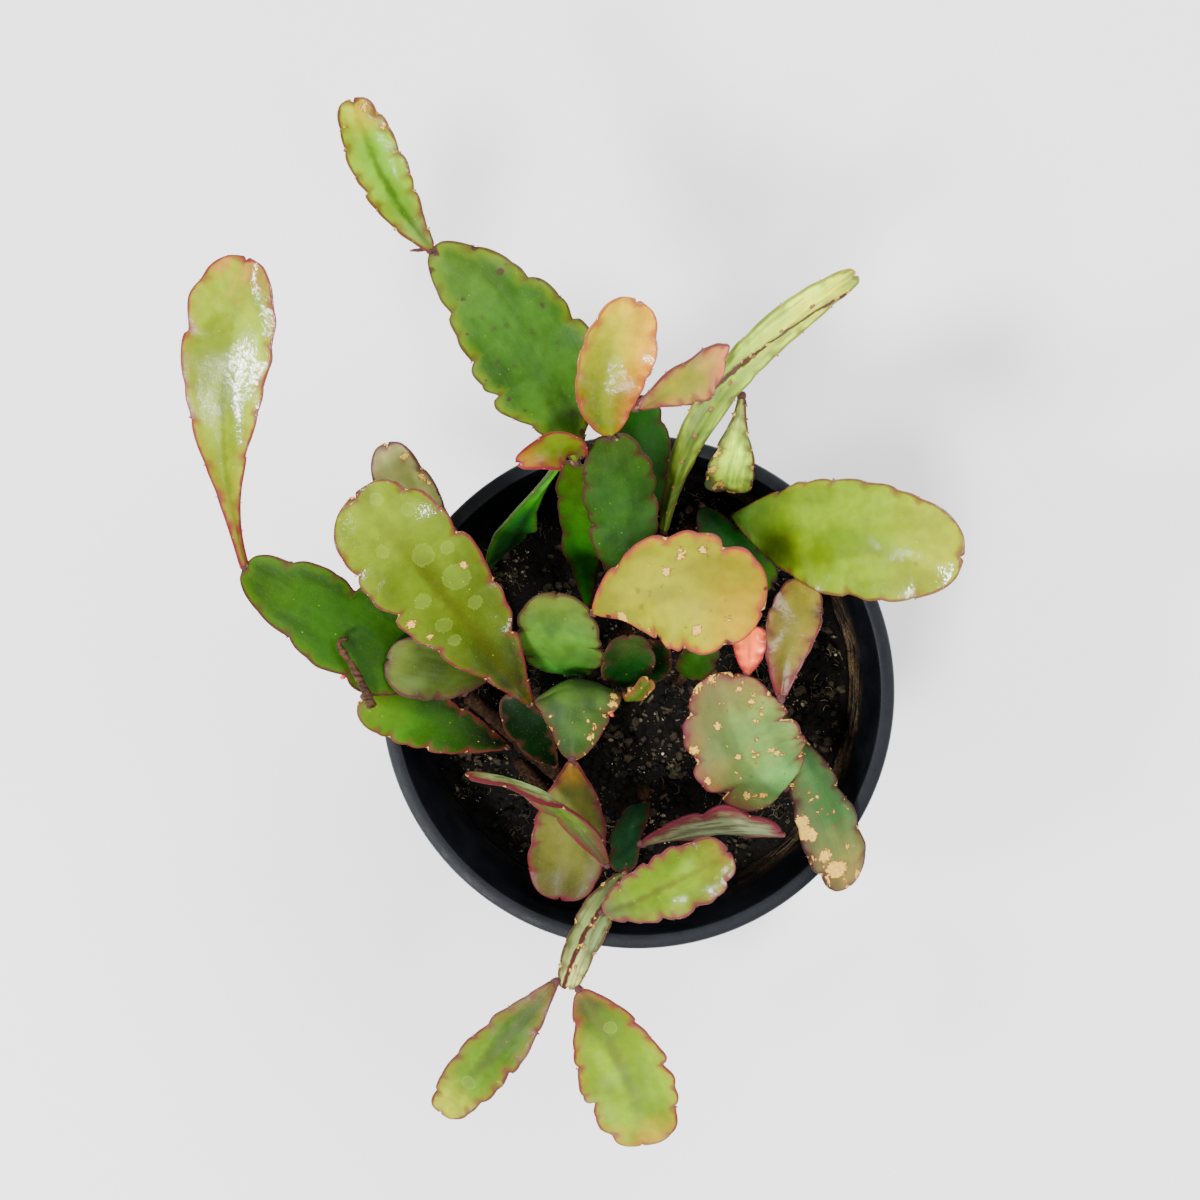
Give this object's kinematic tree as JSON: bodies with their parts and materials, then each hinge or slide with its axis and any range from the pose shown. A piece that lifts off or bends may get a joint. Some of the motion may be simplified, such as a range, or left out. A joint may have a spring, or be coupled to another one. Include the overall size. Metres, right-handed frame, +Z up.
{
  "type": "potted rhipsalis",
  "caption": "Rhipsalis with flat scalloped stem pads in green, yellow and coral, standing on short woody stems in the soil of a plain round black plastic nursery pot.",
  "frame": {"origin": "centre of the pot's flat base, on the surface that it stands on", "axes": "+Z up along the pot's axis, out of its mouth; +X to the plant's glossy right-hand pad; +Y to the far side, where the coral young pads stand"},
  "size_m": [0.1923, 0.2649, 0.1847],
  "materials": {
    "pot_plastic": "smooth satin moulding, a little paler along the flat rim",
    "potting_soil": "dark crumbly potting mix with bark and pale grit",
    "dried_strand": "dry, curled and papery",
    "bright_green_pad": "glossy yellow-green skin with a reddish margin",
    "olive_pad": "waxy olive-bronze skin with a purple-red margin",
    "green_pad": "waxy mid-green skin with a little gloss",
    "coral_pad": "glossy coral young growth",
    "dark_green_pad": "waxy dark green skin",
    "grey_green_pad": "dull, finely wrinkled grey-green skin with corky scars",
    "yellow_pad": "waxy yellow skin with a pink-orange edge",
    "woody_stem": "rough brown bark"
  },
  "bodies": {
    "root": {"pot": "pot_plastic", "soil": "potting_soil", "dried_curl": "dried_strand", "pad_bright": "bright_green_pad", "pad_bronze": "olive_pad", "pad_chip": "green_pad", "pad_coral": "coral_pad", "pad_coral_left": "coral_pad", "pad_coral_right": "olive_pad", "pad_crescent": "dark_green_pad", "pad_curled": "green_pad", "pad_east_low": "dark_green_pad", "pad_east_small": "dark_green_pad", "pad_east_stripe": "olive_pad", "pad_fan": "grey_green_pad", "pad_glossy": "bright_green_pad", "pad_hanging": "grey_green_pad", "pad_large_dark": "green_pad", "pad_middle": "dark_green_pad", "pad_middle_shaded": "dark_green_pad", "pad_north_back": "green_pad", "pad_north_front": "green_pad", "pad_north_shaded": "dark_green_pad", "pad_over_rim": "grey_green_pad", "pad_round": "green_pad", "pad_salmon": "coral_pad", "pad_south_back": "grey_green_pad", "pad_south_bright": "bright_green_pad", "pad_south_edge": "grey_green_pad", "pad_south_end_left": "bright_green_pad", "pad_south_end_right": "bright_green_pad", "pad_south_foot": "dark_green_pad", "pad_south_left": "grey_green_pad", "pad_top_left": "bright_green_pad", "pad_west_behind": "olive_pad", "pad_west_dark": "dark_green_pad", "pad_west_hidden": "dark_green_pad", "pad_west_long": "bright_green_pad", "pad_west_low": "bright_green_pad", "pad_west_olive": "olive_pad", "pad_winged": "grey_green_pad", "pad_yellow": "yellow_pad", "stem_centre": "woody_stem", "stem_curled": "woody_stem", "stem_east_far": "woody_stem", "stem_east_low": "woody_stem", "stem_east_near": "woody_stem", "stem_middle": "woody_stem", "stem_north_back": "woody_stem", "stem_north_east": "woody_stem", "stem_north_front": "woody_stem", "stem_north_low": "woody_stem", "stem_south": "woody_stem", "stem_west_back": "woody_stem", "stem_west_middle": "woody_stem", "stem_west_old": "woody_stem", "stem_west_stub": "woody_stem"}
  },
  "joints": []
}
